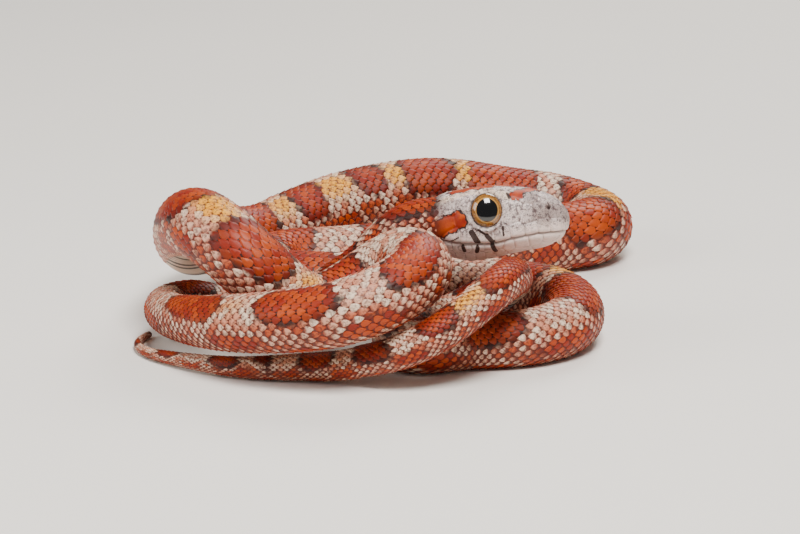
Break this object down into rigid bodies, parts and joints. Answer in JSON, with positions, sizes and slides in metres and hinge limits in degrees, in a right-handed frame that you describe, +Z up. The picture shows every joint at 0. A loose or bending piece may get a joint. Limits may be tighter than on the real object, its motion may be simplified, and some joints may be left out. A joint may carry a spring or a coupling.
{
  "type": "corn snake model",
  "caption": "Life-size still model of a young orange and cream corn snake, coiled at rest with its head laid over its own coils.",
  "frame": {"origin": "middle of the coil's outer box, at the floor", "axes": "+Z up from the floor; the viewer is at -Y and the snout points towards +X"},
  "size_m": [0.0576, 0.0692, 0.0186],
  "materials": {
    "head_skin": "smooth scaled skin with a soft sheen",
    "body_skin": "fine scaled skin with a soft sheen",
    "eye": "wet gloss"
  },
  "bodies": {
    "root": {"head": "head_skin", "eye_left": "eye", "eye_right": "eye", "neck_front": "body_skin", "neck_back": "body_skin", "body_1": "body_skin", "body_2": "body_skin", "body_3": "body_skin", "body_4": "body_skin", "body_5": "body_skin", "body_6": "body_skin", "body_7": "body_skin", "body_8": "body_skin", "body_9": "body_skin", "tail_1": "body_skin", "tail_2": "body_skin"}
  },
  "joints": []
}
